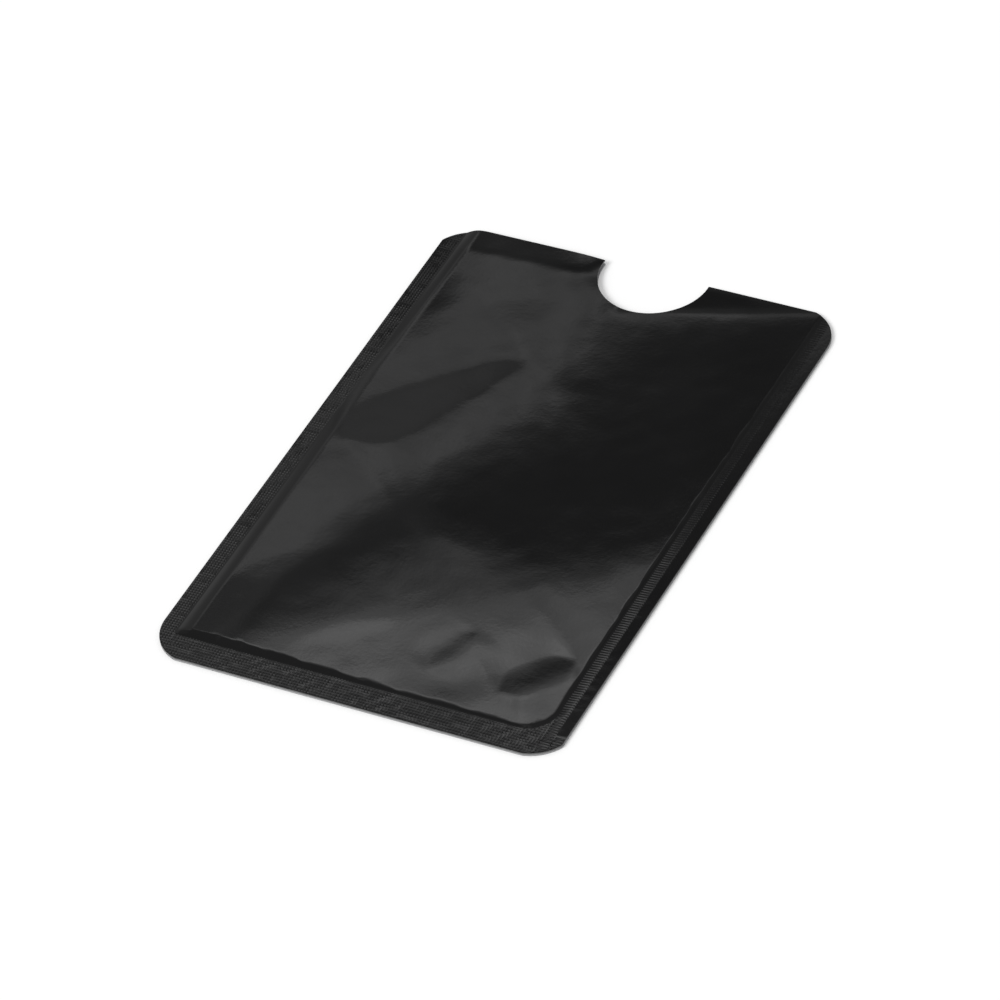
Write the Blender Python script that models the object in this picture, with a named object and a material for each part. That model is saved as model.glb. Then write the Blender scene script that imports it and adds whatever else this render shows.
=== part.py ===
"""Signal-blocking card sleeve: two foil laminate webs, heat sealed on three sides.

The sleeve lies on its back with its open mouth at +Y. Each web is an outer film, a foil shield
and an inner liner, held by thin tie layers, which are the gaps between the solids. The back web
is flat. The front web stands off it as a slack pocket: it leaves the seals in low shoulders, is
nearly level in the middle, falls in even flanks to the left, to the right and to the foot, and
carries a few short banks and dents. Its lip curls up left of the notch and closes right of it.
Units are metres and +Z is up.
"""

import math
from dataclasses import dataclass

import bmesh
import bpy
from mathutils import Vector

# Cut outline, with a quarter-inch corner punch and a round thumb notch
SLEEVE_WIDTH = 0.061
SLEEVE_LENGTH = 0.091
CORNER_RADIUS = 0.00635
NOTCH_RADIUS = 0.00805
NOTCH_OFFSET = 0.00155
NOTCH_SINK = 0.00055

# How far the punch ran over the side edge or the end edge at each corner
TOP_LEFT_SIDE_OVERCUT = 0.00078
TOP_RIGHT_END_OVERCUT = 0.00028
BOTTOM_LEFT_END_OVERCUT = 0.00019
BOTTOM_RIGHT_SIDE_OVERCUT = 0.00084
BOTTOM_RIGHT_END_OVERCUT = 0.0001

# Widths of the heat-seal bands
LEFT_SEAL_WIDTH = 0.0026
RIGHT_SEAL_WIDTH = 0.0031
BOTTOM_SEAL_WIDTH = 0.00425

# Layers of the laminate, from the outside in
FILM_THICKNESS = 0.00005
FOIL_THICKNESS = 0.00003
LINER_THICKNESS = 0.0001
TIE_LAYER = 0.000012
SEAL_BEAD = 0.00004

# Slack of the front web over the pocket
SIDE_SHOULDER = 0.0009
BOTTOM_SHOULDER = 0.0009
POCKET_RISE = 0.0005
LEAST_RISE = 0.00004
LEAST_BEND = 0.00002

# Flanks of the slack web: how steeply each falls beyond its folds, and how wide the bend is.
# A fold is a place, as shares of the pocket, and the direction in which the web falls from it.
LEFT_FLANK_SLOPE = 0.0132
LEFT_FLANK_BEND = 0.0024
LEFT_UPPER_FOLD_SHARES = (0.45, 0.648)
LEFT_UPPER_FOLD_TURN = math.radians(180)
LEFT_LOWER_FOLD_SHARES = (0.403, 0.591)
LEFT_LOWER_FOLD_TURN = math.radians(158)
RIGHT_FLANK_SLOPE = 0.016
RIGHT_FLANK_BEND = 0.004
RIGHT_FOLD_SHARES = (0.459, 0.821)
RIGHT_FOLD_TURN = math.radians(22)
FOOT_FLANK_SLOPE = 0.0112
FOOT_FLANK_BEND = 0.0016
FOOT_UPPER_FOLD_SHARES = (0.505, 0.335)
FOOT_UPPER_FOLD_TURN = math.radians(270)
FOOT_LEFT_FOLD_SHARES = (0.233, 0.256)
FOOT_LEFT_FOLD_TURN = math.radians(340)
FOOT_RIGHT_FOLD_SHARES = (0.74, 0.303)
FOOT_RIGHT_FOLD_TURN = math.radians(228)
CORNER_FLANK_SLOPE = 0.0108
CORNER_FLANK_BEND = 0.0015
CORNER_UPPER_FOLD_SHARES = (0.523, 0.17)
CORNER_UPPER_FOLD_TURN = math.radians(305)
CORNER_LOWER_FOLD_SHARES = (0.342, 0.095)
CORNER_LOWER_FOLD_TURN = math.radians(297)
CORNER_LEFT_FOLD_SHARES = (0.224, 0.049)
CORNER_LEFT_FOLD_TURN = math.radians(345)

# Lip of the front web at the mouth: closed right of the notch and curled up left of it
CLOSED_LIP_SLOPE = 0.045
CURLED_LIP_SLOPE = -0.028
LIP_BEND = 0.0004
CLOSED_LIP_FOLD_SHARES = (0.532, 0.901)
CLOSED_LIP_FOLD_TURN = math.radians(109)
CLOSED_LIP_END_SHARES = (0.495, 0.89)
CLOSED_LIP_END_TURN = math.radians(20)
CURLED_LIP_FOLD_SHARES = (0.215, 0.964)
CURLED_LIP_FOLD_TURN = math.radians(92)
CURLED_LIP_END_SHARES = (0.414, 0.96)
CURLED_LIP_END_TURN = math.radians(180)

# Short steep banks: fold, half length, half width, how the width grows along it, slope and reach
LEFT_BANK_SHARES = (0.204, 0.602)
LEFT_BANK_TURN = math.radians(233)
LEFT_BANK_LENGTH = 0.015
LEFT_BANK_WIDTH = 0.0046
LEFT_BANK_WIDENING_SHARE = 0.16
LEFT_BANK_SLOPE = 0.026
LEFT_BANK_REACH = 0.024
FOOT_BANK_SHARES = (0.919, 0.101)
FOOT_BANK_TURN = math.radians(230)
FOOT_BANK_LENGTH = 0.0056
FOOT_BANK_WIDTH = 0.0042
FOOT_BANK_WIDENING_SHARE = 0.0
FOOT_BANK_SLOPE = 0.026
FOOT_BANK_REACH = 0.007

# Round dents in the bottom left corner and in the lip beside the notch
CORNER_DENT_SHARES = (0.043, -0.009)
CORNER_DENT_WIDTH = 0.0065
CORNER_DENT_LENGTH = 0.0095
CORNER_DENT_DEPTH = 0.00012
LIP_DENT_SHARES = (0.414, 1.006)
LIP_DENT_WIDTH = 0.0036
LIP_DENT_LENGTH = 0.0036
LIP_DENT_DEPTH = 0.00016

# Mesh counts and the distance within which a cut takes an outline's own point
CORNER_STEPS = 8
NOTCH_STEPS = 28
POCKET_COLUMNS = 20
POCKET_ROWS = 28
CUT_SNAP = 0.00012

# Places across a shoulder, as shares of its width, where the web is creased
SHOULDER_CREASE_SHARES = (0.3, 0.65, 1.0)

# Inner edges of the seals, which bound the pocket
POCKET_LEFT = LEFT_SEAL_WIDTH - SLEEVE_WIDTH / 2
POCKET_RIGHT = SLEEVE_WIDTH / 2 - RIGHT_SEAL_WIDTH
POCKET_BOTTOM = BOTTOM_SEAL_WIDTH - SLEEVE_LENGTH / 2
MOUTH = SLEEVE_LENGTH / 2

SMOOTH_ANGLE = math.radians(30)


@dataclass(frozen=True)
class Corner:
    """One punched corner: its side and end as signs, and the punch's overcuts there."""

    side: int
    end: int
    side_overcut: float = 0.0
    end_overcut: float = 0.0

    def points(self):
        """Points of the punched arc, from the side edge to the end edge."""
        inset_x = CORNER_RADIUS - self.side_overcut
        inset_y = CORNER_RADIUS - self.end_overcut
        start = math.pi + math.acos(inset_x / CORNER_RADIUS)
        stop = 1.5 * math.pi - math.acos(inset_y / CORNER_RADIUS)
        arc = []
        for step in range(CORNER_STEPS + 1):
            angle = start + (stop - start) * step / CORNER_STEPS
            inward_x = inset_x + CORNER_RADIUS * math.cos(angle)
            inward_y = inset_y + CORNER_RADIUS * math.sin(angle)
            x = self.side * (SLEEVE_WIDTH / 2 - inward_x)
            y = self.end * (SLEEVE_LENGTH / 2 - inward_y)
            arc.append(Vector((x, y, 0)))
        return arc


@dataclass(frozen=True)
class Fold:
    """A straight line across the web: a place, as shares of the pocket, and a direction of fall."""

    place_shares: tuple
    turn: float

    def split(self, x, y):
        """How far a point lies from the fold's place, in its direction and to the left of it."""
        across_share, along_share = self.place_shares
        away_x = x - (POCKET_LEFT + across_share * (POCKET_RIGHT - POCKET_LEFT))
        away_y = y - (POCKET_BOTTOM + along_share * (MOUTH - POCKET_BOTTOM))
        onward = away_x * math.cos(self.turn) + away_y * math.sin(self.turn)
        leftward = away_y * math.cos(self.turn) - away_x * math.sin(self.turn)
        return onward, leftward


@dataclass(frozen=True)
class Flank:
    """A part of the web that is level before its folds and falls evenly beyond all of them."""

    slope: float
    bend: float
    folds: tuple

    def lift(self, x, y):
        """Height that the flank adds at a point of the plan, which is negative where it falls."""
        beyond = [fold.split(x, y)[0] / self.bend for fold in self.folds]
        nearest = min(beyond)
        nearest -= math.log(sum(math.exp(nearest - length) for length in beyond))
        return -self.slope * self.bend * soften(nearest)


@dataclass(frozen=True)
class Bank:
    """A short steep bank along a line, with level web on both sides."""

    line: Fold
    half_length: float
    half_width: float
    widening_share: float
    slope: float
    reach: float

    def lift(self, x, y):
        """Height that the bank adds at a point of the plan."""
        lengthwise, crosswise = self.line.split(x, y)
        held = min(max(lengthwise, -self.half_length), self.half_length)
        width = self.half_width + self.widening_share * held
        ends = math.exp(-((lengthwise / self.half_length) ** 4))
        away = math.exp(-((crosswise / self.reach) ** 2))
        return self.slope * width * math.tanh(crosswise / width) * ends * away


@dataclass(frozen=True)
class Dent:
    """A soft round dent."""

    place_shares: tuple
    half_width: float
    half_length: float
    depth: float

    def lift(self, x, y):
        """Height that the dent adds at a point of the plan, which is negative."""
        away_x, away_y = Fold(self.place_shares, 0.0).split(x, y)
        spread = (away_x / self.half_width) ** 2 + (away_y / self.half_length) ** 2
        return -self.depth * math.exp(-spread)


@dataclass(frozen=True)
class Finish:
    """Colour, roughness and metallic value of a piece."""

    colour: tuple
    roughness: float
    metallic: float = 0.0


BLACK_FILM = Finish((0.012, 0.012, 0.013), 0.22)
BARE_FOIL = Finish((0.80, 0.81, 0.82), 0.3, 1.0)
GREY_LINER = Finish((0.42, 0.42, 0.43), 0.4, 0.4)
MELTED_SEAL = Finish((0.30, 0.30, 0.31), 0.45)

LEFT_FLANK = Flank(
    LEFT_FLANK_SLOPE,
    LEFT_FLANK_BEND,
    (
        Fold(LEFT_UPPER_FOLD_SHARES, LEFT_UPPER_FOLD_TURN),
        Fold(LEFT_LOWER_FOLD_SHARES, LEFT_LOWER_FOLD_TURN),
    ),
)
RIGHT_FLANK = Flank(
    RIGHT_FLANK_SLOPE,
    RIGHT_FLANK_BEND,
    (Fold(RIGHT_FOLD_SHARES, RIGHT_FOLD_TURN),),
)
FOOT_FLANK = Flank(
    FOOT_FLANK_SLOPE,
    FOOT_FLANK_BEND,
    (
        Fold(FOOT_UPPER_FOLD_SHARES, FOOT_UPPER_FOLD_TURN),
        Fold(FOOT_LEFT_FOLD_SHARES, FOOT_LEFT_FOLD_TURN),
        Fold(FOOT_RIGHT_FOLD_SHARES, FOOT_RIGHT_FOLD_TURN),
    ),
)
CORNER_FLANK = Flank(
    CORNER_FLANK_SLOPE,
    CORNER_FLANK_BEND,
    (
        Fold(CORNER_UPPER_FOLD_SHARES, CORNER_UPPER_FOLD_TURN),
        Fold(CORNER_LOWER_FOLD_SHARES, CORNER_LOWER_FOLD_TURN),
        Fold(CORNER_LEFT_FOLD_SHARES, CORNER_LEFT_FOLD_TURN),
    ),
)
CLOSED_LIP = Flank(
    CLOSED_LIP_SLOPE,
    LIP_BEND,
    (
        Fold(CLOSED_LIP_FOLD_SHARES, CLOSED_LIP_FOLD_TURN),
        Fold(CLOSED_LIP_END_SHARES, CLOSED_LIP_END_TURN),
    ),
)
CURLED_LIP = Flank(
    CURLED_LIP_SLOPE,
    LIP_BEND,
    (
        Fold(CURLED_LIP_FOLD_SHARES, CURLED_LIP_FOLD_TURN),
        Fold(CURLED_LIP_END_SHARES, CURLED_LIP_END_TURN),
    ),
)
LEFT_BANK = Bank(
    Fold(LEFT_BANK_SHARES, LEFT_BANK_TURN),
    LEFT_BANK_LENGTH,
    LEFT_BANK_WIDTH,
    LEFT_BANK_WIDENING_SHARE,
    LEFT_BANK_SLOPE,
    LEFT_BANK_REACH,
)
FOOT_BANK = Bank(
    Fold(FOOT_BANK_SHARES, FOOT_BANK_TURN),
    FOOT_BANK_LENGTH,
    FOOT_BANK_WIDTH,
    FOOT_BANK_WIDENING_SHARE,
    FOOT_BANK_SLOPE,
    FOOT_BANK_REACH,
)
CORNER_DENT = Dent(CORNER_DENT_SHARES, CORNER_DENT_WIDTH, CORNER_DENT_LENGTH, CORNER_DENT_DEPTH)
LIP_DENT = Dent(LIP_DENT_SHARES, LIP_DENT_WIDTH, LIP_DENT_LENGTH, LIP_DENT_DEPTH)
WEB_FORMS = (
    LEFT_FLANK,
    RIGHT_FLANK,
    FOOT_FLANK,
    CORNER_FLANK,
    CLOSED_LIP,
    CURLED_LIP,
    LEFT_BANK,
    FOOT_BANK,
    CORNER_DENT,
    LIP_DENT,
)


def outline():
    """Points of the cut outline, anticlockwise from the bottom left corner."""
    bottom_left = Corner(-1, -1, end_overcut=BOTTOM_LEFT_END_OVERCUT)
    bottom_right = Corner(1, -1, BOTTOM_RIGHT_SIDE_OVERCUT, BOTTOM_RIGHT_END_OVERCUT)
    top_right = Corner(1, 1, end_overcut=TOP_RIGHT_END_OVERCUT)
    top_left = Corner(-1, 1, TOP_LEFT_SIDE_OVERCUT)
    notch = []
    rim_turn = math.asin(NOTCH_SINK / NOTCH_RADIUS)
    for step in range(NOTCH_STEPS + 1):
        angle = rim_turn - (math.pi + 2 * rim_turn) * step / NOTCH_STEPS
        x = NOTCH_OFFSET + NOTCH_RADIUS * math.cos(angle)
        y = MOUTH - NOTCH_SINK + NOTCH_RADIUS * math.sin(angle)
        notch.append(Vector((x, y, 0)))
    notch[0].y = MOUTH
    notch[-1].y = MOUTH
    ends = bottom_left.points() + bottom_right.points()[::-1]
    return ends + top_right.points() + notch + top_left.points()[::-1]


def outline_plan():
    """A bmesh that holds the whole outline as one flat face."""
    plan = bmesh.new()
    plan.faces.new([plan.verts.new(point) for point in outline()])
    plan.normal_update()
    return plan


def cut(plan, faces, place, normal, keep_below=False):
    """Cuts faces of a plan along a line through place, square to normal."""
    edges = {edge for face in faces for edge in face.edges}
    verts = {vert for face in faces for vert in face.verts}
    bmesh.ops.bisect_plane(
        plan,
        geom=list(faces) + list(edges) + list(verts),
        dist=CUT_SNAP,
        plane_co=place,
        plane_no=normal,
        clear_outer=keep_below,
    )


def pocket_faces(plan):
    """Faces of a plan that lie over the pocket and not in a seal band."""
    found = []
    for face in plan.faces:
        centre = face.calc_center_median()
        if POCKET_LEFT < centre.x < POCKET_RIGHT and centre.y > POCKET_BOTTOM:
            found.append(face)
    return found


def crease_places(low, high, low_shoulder, high_shoulder, count):
    """Places of the cuts between two edges: creases in the shoulders, then even steps between."""
    low_creases = [low + low_shoulder * share for share in SHOULDER_CREASE_SHARES]
    high_creases = [high - high_shoulder * share for share in SHOULDER_CREASE_SHARES]
    if not high_shoulder:
        high_creases = []
    start = low + low_shoulder
    step = (high - high_shoulder - start) / count
    even = [start + step * index for index in range(1, count)]
    return sorted(low_creases + even + high_creases)


def front_plan():
    """The front web's flat plan: plain seal bands, and a triangulated grid over the pocket."""
    plan = outline_plan()
    cut(plan, plan.faces[:], Vector((POCKET_LEFT, 0, 0)), Vector((1, 0, 0)))
    cut(plan, plan.faces[:], Vector((POCKET_RIGHT, 0, 0)), Vector((1, 0, 0)))
    cut(plan, plan.faces[:], Vector((0, POCKET_BOTTOM, 0)), Vector((0, 1, 0)))
    columns = crease_places(POCKET_LEFT, POCKET_RIGHT, SIDE_SHOULDER, SIDE_SHOULDER, POCKET_COLUMNS)
    for x in columns:
        cut(plan, pocket_faces(plan), Vector((x, 0, 0)), Vector((1, 0, 0)))
    rows = crease_places(POCKET_BOTTOM, MOUTH, BOTTOM_SHOULDER, 0, POCKET_ROWS)
    for y in rows:
        cut(plan, pocket_faces(plan), Vector((0, y, 0)), Vector((0, 1, 0)))
    bmesh.ops.triangulate(plan, faces=plan.faces[:])
    return plan


def shoulder(distance, width):
    """Share of the rise at a distance in from a seal: steep at the seal, level at the width."""
    run = min(max(distance / width, 0), 1)
    return 1 - (1 - run) ** 2


def soften(run):
    """Zero well below 0 and equal to run well above it, with a soft bend between."""
    return max(run, 0) + math.log1p(math.exp(-abs(run)))


def front_lift(x, y):
    """Height of the front web over the sealed plane at a point of the plan."""
    if not (POCKET_LEFT < x < POCKET_RIGHT and y > POCKET_BOTTOM):
        return 0.0
    sides = shoulder(x - POCKET_LEFT, SIDE_SHOULDER) * shoulder(POCKET_RIGHT - x, SIDE_SHOULDER)
    foot = shoulder(y - POCKET_BOTTOM, BOTTOM_SHOULDER)
    body = POCKET_RISE + sum(form.lift(x, y) for form in WEB_FORMS)
    body = LEAST_RISE + LEAST_BEND * soften((body - LEAST_RISE) / LEAST_BEND)
    return sides * foot * body


def thicken(plan, thickness):
    """Extrudes a flat plan upwards into a closed sheet."""
    grown = bmesh.ops.extrude_face_region(plan, geom=plan.faces[:])
    upper = [item for item in grown["geom"] if isinstance(item, bmesh.types.BMVert)]
    bmesh.ops.translate(plan, verts=upper, vec=Vector((0, 0, thickness)))
    bmesh.ops.recalc_face_normals(plan, faces=plan.faces[:])


def billow(plan):
    """Lifts both sides of a flat sheet by the front web's height field."""
    for vert in plan.verts:
        vert.co.z += front_lift(vert.co.x, vert.co.y)


def finish_material(name, finish):
    """A Principled material with the colour, roughness and metallic value of a finish."""
    material = bpy.data.materials.new(name)
    material.use_nodes = True
    shader = material.node_tree.nodes["Principled BSDF"]
    shader.inputs["Base Color"].default_value = (*finish.colour, 1)
    shader.inputs["Roughness"].default_value = finish.roughness
    shader.inputs["Metallic"].default_value = finish.metallic
    return material


def add_piece(name, plan, underside, finish, parent):
    """Turns a finished bmesh into a named object that lies with its flat underside at a height."""
    mesh = bpy.data.meshes.new(name)
    plan.to_mesh(mesh)
    plan.free()
    mesh.shade_smooth()
    mesh.set_sharp_from_angle(angle=SMOOTH_ANGLE)
    mesh.materials.append(finish_material(name, finish))
    piece = bpy.data.objects.new(name, mesh)
    piece.location.z = underside
    piece.parent = parent
    bpy.context.scene.collection.objects.link(piece)
    return piece


def seal_plan(name):
    """The outline trimmed to one seal band: the bottom one, or a side one that stands on it."""
    plan = outline_plan()
    if name == "bottom_seal":
        edge = Vector((0, POCKET_BOTTOM, 0))
        cut(plan, plan.faces[:], edge, Vector((0, 1, 0)), keep_below=True)
        return plan
    foot = Vector((0, POCKET_BOTTOM + TIE_LAYER, 0))
    cut(plan, plan.faces[:], foot, Vector((0, -1, 0)), keep_below=True)
    if name == "left_seal":
        cut(plan, plan.faces[:], Vector((POCKET_LEFT, 0, 0)), Vector((1, 0, 0)), keep_below=True)
    else:
        cut(plan, plan.faces[:], Vector((POCKET_RIGHT, 0, 0)), Vector((-1, 0, 0)), keep_below=True)
    return plan


def build_back_web(parent):
    """The flat back web, from the outer film up to the liner. Returns the height over the liner."""
    height = 0.0
    layers = (
        ("back_outer_film", FILM_THICKNESS, BLACK_FILM),
        ("back_foil_shield", FOIL_THICKNESS, BARE_FOIL),
        ("back_inner_liner", LINER_THICKNESS, GREY_LINER),
    )
    for name, thickness, finish in layers:
        plan = outline_plan()
        thicken(plan, thickness)
        add_piece(name, plan, height, finish, parent)
        height += thickness + TIE_LAYER
    return height


def build_seals(height, parent):
    """The three melted seals between the liners. Returns the height over them."""
    for name in ("bottom_seal", "left_seal", "right_seal"):
        plan = seal_plan(name)
        thicken(plan, SEAL_BEAD)
        add_piece(name, plan, height, MELTED_SEAL, parent)
    return height + SEAL_BEAD + TIE_LAYER


def build_front_web(height, parent):
    """The billowed front web, from the liner up to the outer film."""
    layers = (
        ("front_inner_liner", LINER_THICKNESS, GREY_LINER),
        ("front_foil_shield", FOIL_THICKNESS, BARE_FOIL),
        ("front_outer_film", FILM_THICKNESS, BLACK_FILM),
    )
    shared_plan = front_plan()
    for name, thickness, finish in layers:
        plan = shared_plan.copy()
        thicken(plan, thickness)
        billow(plan)
        add_piece(name, plan, height, finish, parent)
        height += thickness + TIE_LAYER
    shared_plan.free()


def main():
    """Clears the scene and builds the sleeve from its back web to its front web."""
    for leftover in list(bpy.data.objects):
        bpy.data.objects.remove(leftover)
    sleeve = bpy.data.objects.new("card_sleeve", None)
    bpy.context.scene.collection.objects.link(sleeve)
    over_liner = build_back_web(sleeve)
    over_seals = build_seals(over_liner, sleeve)
    build_front_web(over_seals, sleeve)


main()
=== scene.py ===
"""Looks of a foil laminate card sleeve in black gloss film, on a plain white table.

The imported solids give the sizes. The outer films, and the foil and liner that follow the billowed
front web, are modelled again as finer closed sheets. The fine net pressed into the heat seals is
real geometry. The back web's inner layers and the melted seals keep their solids and get a finish.
Lengths are in metres, except in the forms of the billow, and slopes are heights per length.
"""

from __future__ import annotations

import logging
import math
from dataclasses import dataclass
from enum import Enum
from functools import cache
from typing import Callable, Iterable, Mapping, Optional, Sequence, Union

import bmesh
import bpy
from bmesh.types import BMesh, BMFace, BMVert
from bpy.types import Material, Object
from mathutils import Euler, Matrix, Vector, noise

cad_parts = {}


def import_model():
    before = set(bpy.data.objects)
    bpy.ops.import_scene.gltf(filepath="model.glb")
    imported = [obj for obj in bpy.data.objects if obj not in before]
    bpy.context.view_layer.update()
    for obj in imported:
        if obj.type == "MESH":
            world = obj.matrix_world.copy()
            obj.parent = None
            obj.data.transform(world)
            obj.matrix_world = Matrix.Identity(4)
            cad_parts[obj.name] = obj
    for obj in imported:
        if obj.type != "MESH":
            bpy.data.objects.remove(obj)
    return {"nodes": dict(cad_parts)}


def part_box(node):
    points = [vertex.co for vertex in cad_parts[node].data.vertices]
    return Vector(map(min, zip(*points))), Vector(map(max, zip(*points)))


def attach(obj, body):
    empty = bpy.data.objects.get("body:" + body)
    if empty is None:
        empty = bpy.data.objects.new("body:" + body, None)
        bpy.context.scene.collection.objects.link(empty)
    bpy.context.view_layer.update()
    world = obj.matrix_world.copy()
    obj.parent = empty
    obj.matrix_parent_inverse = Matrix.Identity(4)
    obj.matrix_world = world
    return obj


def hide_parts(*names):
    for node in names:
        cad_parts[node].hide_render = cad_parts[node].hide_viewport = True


LOG = logging.getLogger("card_sleeve")
MM = 0.001
BODY = "root"

Value = Union["Socket", float, Sequence[float]]
Triple = tuple[float, float, float]
Colour = tuple[float, float, float, float]
WHITE: Colour = (1, 1, 1, 1)


class Slot(Enum):
    """Material slots of the record that a new piece can take its finish from."""

    OUTER_FILM = "outer_film"
    FOIL = "foil"
    LINER = "liner"
    SEAL = "seal"


class Axis(Enum):
    """Direction in which a web is sliced, as an index into a vector."""

    ACROSS = 0
    ALONG = 1


def ease(run: float) -> float:
    """A smooth step from 0 to 1 as run goes from 0 to 1."""
    held = min(max(run, 0.0), 1.0)
    return held * held * (3.0 - 2.0 * held)


def soften(run: float) -> float:
    """Zero well below 0 and equal to run well above it, with a soft bend between."""
    return max(run, 0.0) + math.log1p(math.exp(-abs(run)))


def bell(*runs: float) -> float:
    """A round hump: 1 where all runs are 0, and 0 far from there."""
    return math.exp(-sum(run**2 for run in runs))


# Shader nodes


@dataclass(frozen=True)
class Edge:
    """A soft edge: the value half way up a smooth step, and the range of values that it takes."""

    at: float
    softness: float


@dataclass(frozen=True)
class Grain:
    """Noise: the size of its features, its octaves, and how much shorter it is along each axis."""

    size: float
    detail: float
    stretch: Triple = (1, 1, 1)


class Socket:
    """An output socket whose arithmetic adds Math nodes to its tree."""

    def __init__(self, graph: "Graph", output: bpy.types.NodeSocket) -> None:
        """Wraps an output socket of a graph."""
        self.graph = graph
        self.output = output

    def _math(self, operation: str, first: Value, second: Value) -> "Socket":
        """Adds a Math node that joins two values."""
        return self.graph.add("Math", {"operation": operation}, {0: first, 1: second})

    def __add__(self, other: Value) -> "Socket":
        """Sum of this socket and a value."""
        return self._math("ADD", self, other)

    def __radd__(self, other: Value) -> "Socket":
        """Sum of a value and this socket."""
        return self._math("ADD", other, self)

    def __sub__(self, other: Value) -> "Socket":
        """This socket less a value."""
        return self._math("SUBTRACT", self, other)

    def __rsub__(self, other: Value) -> "Socket":
        """A value less this socket."""
        return self._math("SUBTRACT", other, self)

    def __mul__(self, other: Value) -> "Socket":
        """Product of this socket and a value."""
        return self._math("MULTIPLY", self, other)

    def __rmul__(self, other: Value) -> "Socket":
        """Product of a value and this socket."""
        return self._math("MULTIPLY", other, self)

    def __truediv__(self, other: Value) -> "Socket":
        """This socket divided by a value."""
        return self._math("DIVIDE", self, other)

    def __rtruediv__(self, other: Value) -> "Socket":
        """A value divided by this socket."""
        return self._math("DIVIDE", other, self)

    def size(self) -> "Socket":
        """This socket without its sign."""
        return self._math("ABSOLUTE", self, 0.0)

    def larger(self, other: Value) -> "Socket":
        """The larger of this socket and a value."""
        return self._math("MAXIMUM", self, other)

    def step(self, edge: Edge) -> "Socket":
        """Rises smoothly from 0 to 1 as this socket passes a soft edge.

        Args:
            edge: The soft edge.

        Returns:
            The stepped value.
        """
        reach = {"From Min": edge.at - edge.softness / 2, "From Max": edge.at + edge.softness / 2}
        settings = {"interpolation_type": "SMOOTHSTEP"}
        return self.graph.add("MapRange", settings, {"Value": self, **reach})


class Graph:
    """Builds the nodes of one material or world."""

    def __init__(self, owner: Union[Material, bpy.types.World]) -> None:
        """Clears the owner's node tree and keeps it.

        Args:
            owner: The material or world that the nodes are for.
        """
        owner.use_nodes = True
        self.tree = owner.node_tree
        self.tree.nodes.clear()

    def add(
        self,
        kind: str,
        settings: Optional[Mapping[str, object]] = None,
        values: Optional[Mapping[Union[str, int], Value]] = None,
        result: Union[str, int] = 0,
    ) -> Socket:
        """Adds a shader node.

        Args:
            kind: The node's type, without its ShaderNode prefix.
            settings: Properties of the node, set first.
            values: What each input socket gets: a socket to link, or a plain value.
            result: The output socket that is wanted.

        Returns:
            The wanted output.
        """
        node = self.tree.nodes.new(f"ShaderNode{kind}")
        for name, setting in (settings or {}).items():
            setattr(node, name, setting)
        for name, value in (values or {}).items():
            if isinstance(value, Socket):
                self.tree.links.new(value.output, node.inputs[name])
            else:
                node.inputs[name].default_value = value
        return Socket(self, node.outputs[result] if node.outputs else node.inputs[0])

    def parts(self, vector: Socket) -> tuple[Socket, Socket, Socket]:
        """The three numbers of a vector."""
        split = self.add("SeparateXYZ", values={0: vector})
        return tuple(Socket(self, output) for output in split.output.node.outputs)

    def dot(self, vector: Socket, along: Triple) -> Socket:
        """How far a vector reaches along a direction."""
        return self.add("VectorMath", {"operation": "DOT_PRODUCT"}, {0: vector, 1: along}, "Value")

    def grain(self, grain: Grain) -> Socket:
        """Adds noise round one half.

        Args:
            grain: What the noise is like.

        Returns:
            The noise.
        """
        place = self.add("TexCoord", result="Object")
        place = self.add("Mapping", values={"Vector": place, "Scale": grain.stretch})
        values = {"Vector": place, "Scale": 1 / grain.size, "Detail": grain.detail}
        return self.add("TexNoise", values=values, result="Fac")

    def blend(self, share: Value, low: Colour, high: Colour) -> Socket:
        """Mixes two colours by a share."""
        # A Mix node takes colours at sockets 6 and 7, and gives their mix at 2.
        return self.add("Mix", {"data_type": "RGBA"}, {0: share, 6: low, 7: high}, 2)

    def bump(self, height: Socket, depth: float, under: Optional[Socket] = None) -> Socket:
        """A Bump node for a height from 0 to 1.

        Args:
            height: The height, as a share of the depth.
            depth: The full depth in metres.
            under: A bump that this one is added to.

        Returns:
            The bumped normal.
        """
        values = {"Height": height, "Distance": depth, "Strength": 1.0}
        if under is not None:
            values["Normal"] = under
        return self.add("Bump", values=values)

    def surface(self, **inputs: Value) -> None:
        """Ends a material with a Principled shader.

        Args:
            **inputs: Values of its sockets, named with _ for each space.
        """
        values = {name.replace("_", " "): value for name, value in inputs.items()}
        shader = self.add("BsdfPrincipled", values=values)
        self.add("OutputMaterial", values={"Surface": shader})


# Finishes


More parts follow.
